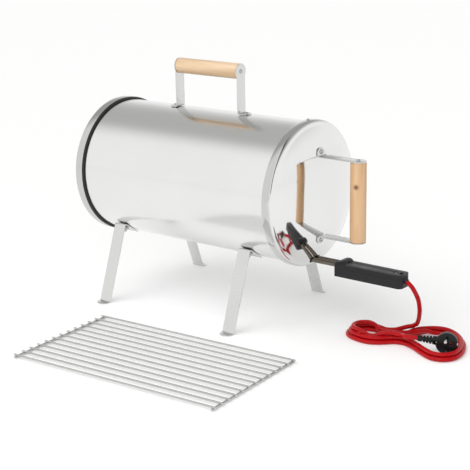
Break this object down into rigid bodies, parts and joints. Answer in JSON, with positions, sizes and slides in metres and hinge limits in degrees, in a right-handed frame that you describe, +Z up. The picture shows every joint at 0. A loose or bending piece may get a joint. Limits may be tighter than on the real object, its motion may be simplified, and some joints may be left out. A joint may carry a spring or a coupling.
{
  "type": "electric drum smoker",
  "caption": "Horizontal steel drum smoker on splayed strip legs, with a pull-off door, plug-in heating element, red mains cord, wooden handles, drip tray and loose grate.",
  "frame": {"origin": "on the floor under the middle of the object's box, the free cord and its plug left out", "axes": "+X along the drum's axis from the rear cover to the door, +Y away from the grate, +Z up"},
  "size_m": [0.7512, 0.5729, 0.436],
  "materials": {
    "polished_steel": "polished stainless, mirror-like with faint drawing lines",
    "strip_steel": "satin",
    "zinc_fastener": "zinc plated",
    "pale_wood": "sanded pale wood, unvarnished",
    "black_seal": "matte",
    "element_tube": "heat-browned sheath",
    "black_plastic": "satin moulded",
    "black_rubber": "matte",
    "red_cord": "smooth, slightly glossy silicone",
    "plug_plastic": "moulded",
    "nickel_pin": "nickel plated",
    "tray_steel": "satin",
    "chromed_wire": "chromed wire"
  },
  "bodies": {
    "root": {"drum_shell": "polished_steel", "rear_cover": "polished_steel", "rear_seal_ring": "black_seal", "leg_front_rear": "strip_steel", "leg_front_door": "strip_steel", "leg_back_rear": "strip_steel", "leg_back_door": "strip_steel", "leg_bolt_front_rear": "zinc_fastener", "leg_bolt_front_door": "zinc_fastener", "leg_bolt_back_rear": "zinc_fastener", "leg_bolt_back_door": "zinc_fastener", "leg_nut_front_rear": "zinc_fastener", "leg_nut_front_door": "zinc_fastener", "leg_nut_back_rear": "zinc_fastener", "leg_nut_back_door": "zinc_fastener", "top_handle_grip": "pale_wood", "top_bracket_rear": "strip_steel", "top_bracket_door": "strip_steel", "top_screw_rear": "zinc_fastener", "top_screw_door": "zinc_fastener", "top_nut_rear": "zinc_fastener", "top_nut_door": "zinc_fastener", "top_grip_screw_rear": "zinc_fastener", "top_grip_screw_door": "zinc_fastener"},
    "door": {"door": "polished_steel", "door_spring_upper": "strip_steel", "door_spring_lower": "strip_steel", "door_rivet_upper": "zinc_fastener", "door_rivet_lower": "zinc_fastener", "door_bracket_upper": "strip_steel", "door_bracket_lower": "strip_steel", "door_screw_upper": "zinc_fastener", "door_screw_lower": "zinc_fastener", "door_nut_upper": "zinc_fastener", "door_nut_lower": "zinc_fastener", "door_grip_screw_upper": "zinc_fastener", "door_grip_screw_lower": "zinc_fastener", "door_handle_grip": "pale_wood"},
    "element": {"element_hairpin": "element_tube", "element_handle_lower": "black_plastic", "element_handle_upper": "black_plastic", "element_handle_screw_front": "zinc_fastener", "element_handle_screw_rear": "zinc_fastener", "cord_grommet": "black_rubber", "cord_tube": "red_cord", "cord_bundle": "red_cord", "plug_body": "plug_plastic", "plug_pin_upper": "nickel_pin", "plug_pin_lower": "nickel_pin"},
    "drip_tray": {"drip_tray": "tray_steel"},
    "grate": {"grate": "chromed_wire"}
  },
  "joints": [
    {"name": "door_pull_off", "type": "slide", "parent": "root", "child": "door", "axis": [1, 0, 0], "range_m": [0, 0.45]},
    {"name": "element_pull_out", "type": "slide", "parent": "door", "child": "element", "axis": [1, 0, 0], "range_m": [0, 0.4]},
    {"name": "drip_tray_pull_out", "type": "slide", "parent": "root", "child": "drip_tray", "axis": [1, 0, 0], "range_m": [0, 0.25]},
    {"name": "grate_lift", "type": "slide", "parent": "root", "child": "grate", "axis": [0, 0, 1], "range_m": [0, 0.15]}
  ],
  "couplings": [
    {"joint": "drip_tray_pull_out", "follows": "door_pull_off", "ratio": 0.55}
  ]
}
